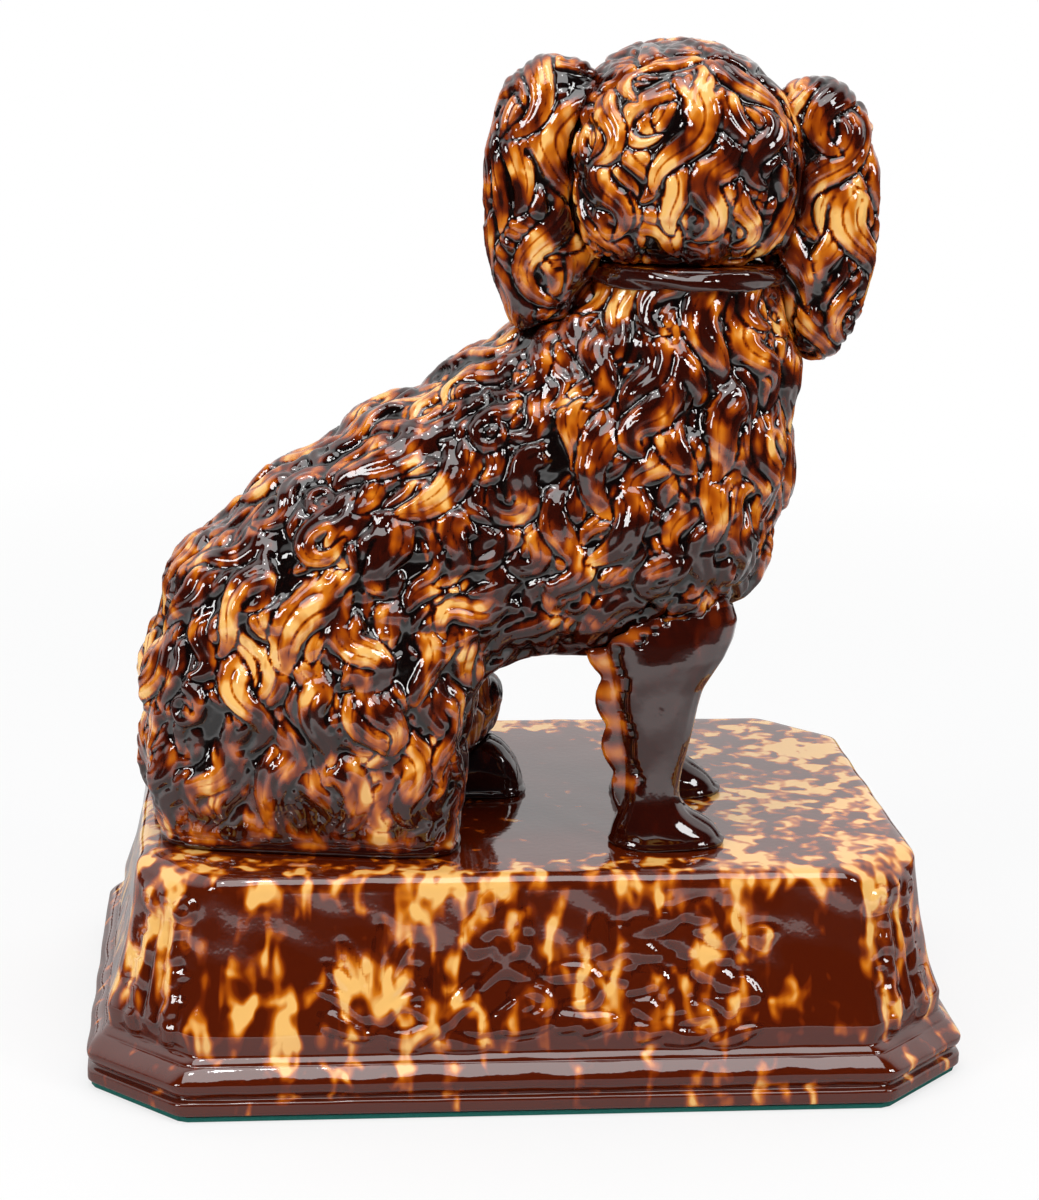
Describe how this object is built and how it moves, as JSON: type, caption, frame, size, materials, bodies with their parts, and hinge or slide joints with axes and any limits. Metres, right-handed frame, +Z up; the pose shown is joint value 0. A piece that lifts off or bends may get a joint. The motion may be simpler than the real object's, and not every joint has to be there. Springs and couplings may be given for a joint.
{
  "type": "pottery dog figure",
  "caption": "Seated spaniel figure of hollow glazed earthenware, its head turned aside, on a moulded plinth with canted corners and a felt underside.",
  "frame": {"origin": "middle of the felt's underside, where the figure stands", "axes": "+X the way the dog's body faces, +Y the way its head is turned, +Z up"},
  "size_m": [0.225, 0.165, 0.2611],
  "materials": {
    "rockingham_glaze": "mottled brown and amber gloss glaze",
    "dark_glaze": "dark brown gloss glaze",
    "amber_glaze": "amber gloss glaze with brown runs",
    "green_felt": "teal wool felt"
  },
  "bodies": {
    "root": {"plinth": "rockingham_glaze", "felt_pad": "green_felt", "body_right_half": "rockingham_glaze", "body_left_half": "rockingham_glaze", "collar": "dark_glaze", "head_back": "amber_glaze", "head_front": "rockingham_glaze", "ear_left": "amber_glaze", "ear_right": "amber_glaze", "foreleg_right": "dark_glaze", "foreleg_left": "dark_glaze", "hind_paw_left": "dark_glaze", "tail": "rockingham_glaze"}
  },
  "joints": []
}
